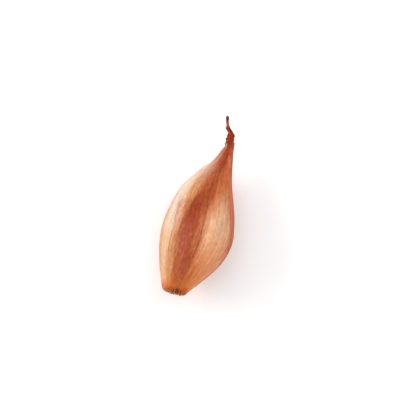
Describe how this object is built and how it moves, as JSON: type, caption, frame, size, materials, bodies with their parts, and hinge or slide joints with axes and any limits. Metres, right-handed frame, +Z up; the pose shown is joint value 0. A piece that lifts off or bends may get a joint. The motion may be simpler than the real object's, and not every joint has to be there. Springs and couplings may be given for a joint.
{
  "type": "pink shallot",
  "caption": "Whole unpeeled long shallot lying on its belly, with a papery skin, a torn pleated neck, a dry leaf tip and a tuft of root stubs.",
  "frame": {"origin": "centre of the small flat spot on the belly that the shallot rests on, under its centre of mass", "axes": "+Y runs along the shallot from the root end to the dry tip, +Z is up, +X is to its right seen from above with the tip pointing away"},
  "size_m": [0.0377, 0.0995, 0.0363],
  "materials": {
    "dry_skin": "satin papery skin, coppery orange-tan with pinkish brown lengthwise bands",
    "dead_leaf": "matt, dry and wrinkled, dark red-brown",
    "dry_root": "matt, corky and fibrous, straw-brown"
  },
  "bodies": {
    "root": {"bulb": "dry_skin", "dry_leaf_tip": "dead_leaf", "root_tuft": "dry_root"}
  },
  "joints": []
}
